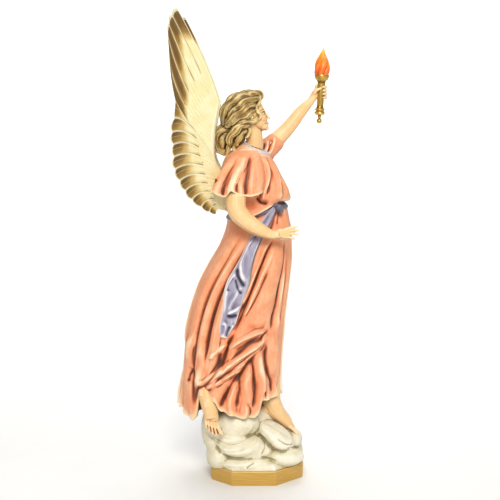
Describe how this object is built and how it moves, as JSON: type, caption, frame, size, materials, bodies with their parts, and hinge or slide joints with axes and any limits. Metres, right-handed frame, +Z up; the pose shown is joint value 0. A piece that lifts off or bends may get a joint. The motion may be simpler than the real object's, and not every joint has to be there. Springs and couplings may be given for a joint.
{
  "type": "wooden angel statue",
  "caption": "Carved and painted wooden angel with raised wings, stepping forward on a cloud and lifting a gilded torch, on an eight-sided plinth.",
  "frame": {"origin": "middle of the plinth's underside", "axes": "+X the way the figure faces, +Y to its left, towards the raised arm, +Z up"},
  "size_m": [0.2065, 0.1768, 0.6015],
  "materials": {
    "figure_paint": "limewood painted in salmon, lavender, flesh and ivory with an antique glaze, satin",
    "wing_paint": "limewood painted cream with brushed gold on the feather tips, satin",
    "torch_gilding": "turned wood with antique gold paint",
    "flame_paint": "wood painted orange with red and yellow tongues, satin",
    "plinth_gilding": "wood with brushed gold paint"
  },
  "bodies": {
    "root": {"angel_figure": "figure_paint", "wing_right": "wing_paint", "wing_left": "wing_paint", "torch_handle": "torch_gilding", "torch_flame": "flame_paint", "plinth": "plinth_gilding"}
  },
  "joints": []
}
